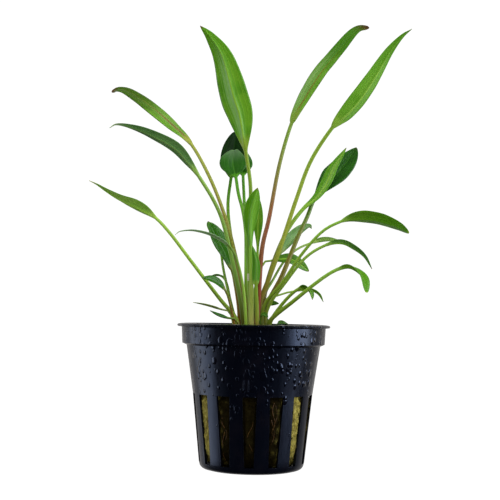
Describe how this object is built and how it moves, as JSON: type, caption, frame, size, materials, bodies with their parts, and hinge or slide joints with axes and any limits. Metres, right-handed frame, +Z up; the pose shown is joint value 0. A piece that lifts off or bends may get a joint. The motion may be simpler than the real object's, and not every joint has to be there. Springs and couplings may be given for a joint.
{
  "type": "potted cryptocoryne",
  "caption": "Young cryptocoryne water plant with slender stalked leaves, growing from a mineral wool plug in a black plastic net pot with a slotted wall.",
  "frame": {"origin": "middle of the pot's base, on the surface that the pot stands on", "axes": "+Z up along the pot's axis, the plant is seen from -Y with +X to the right"},
  "size_m": [0.112, 0.063, 0.1691],
  "materials": {
    "pot_plastic": "black moulded plastic, wet, with a soft sheen",
    "wool": "matt fibrous mineral wool, olive yellow and brown",
    "crown": "dull olive brown plant tissue",
    "leaf_fresh": "fresh green leaf with a satin skin",
    "leaf_bright": "bright yellow-green leaf with a satin skin",
    "leaf_deep": "deep green leaf with a satin skin",
    "leaf_bluish": "blue-green underside of a leaf, satin",
    "leaf_olive": "olive green leaf with a satin skin"
  },
  "bodies": {
    "root": {"net_pot": "pot_plastic", "mineral_wool": "wool", "crown": "crown", "tall_left": "leaf_fresh", "tall_right": "leaf_fresh", "far_right": "leaf_bright", "upper_left": "leaf_fresh", "twisted_left": "leaf_bluish", "long_left": "leaf_bright", "dark_back": "leaf_deep", "dark_folded": "leaf_deep", "dark_hidden": "leaf_deep", "front_upright": "leaf_bright", "front_spear": "leaf_bright", "behind_front": "leaf_fresh", "right_light": "leaf_bright", "right_dark": "leaf_deep", "right_level": "leaf_bright", "right_arch_front": "leaf_fresh", "right_arch_back": "leaf_olive", "right_short": "leaf_fresh", "right_curled": "leaf_bluish", "low_right_arch": "leaf_bright", "small_right_front": "leaf_fresh", "small_right_back": "leaf_fresh", "bud_right": "leaf_deep", "bud_centre": "leaf_bluish", "rim_right": "leaf_bright", "left_dark": "leaf_deep", "left_pale": "leaf_fresh", "left_ribbon": "leaf_bluish", "small_left": "leaf_deep", "wisp_left": "leaf_fresh", "thread_left": "leaf_olive", "low_left": "leaf_deep"}
  },
  "joints": []
}
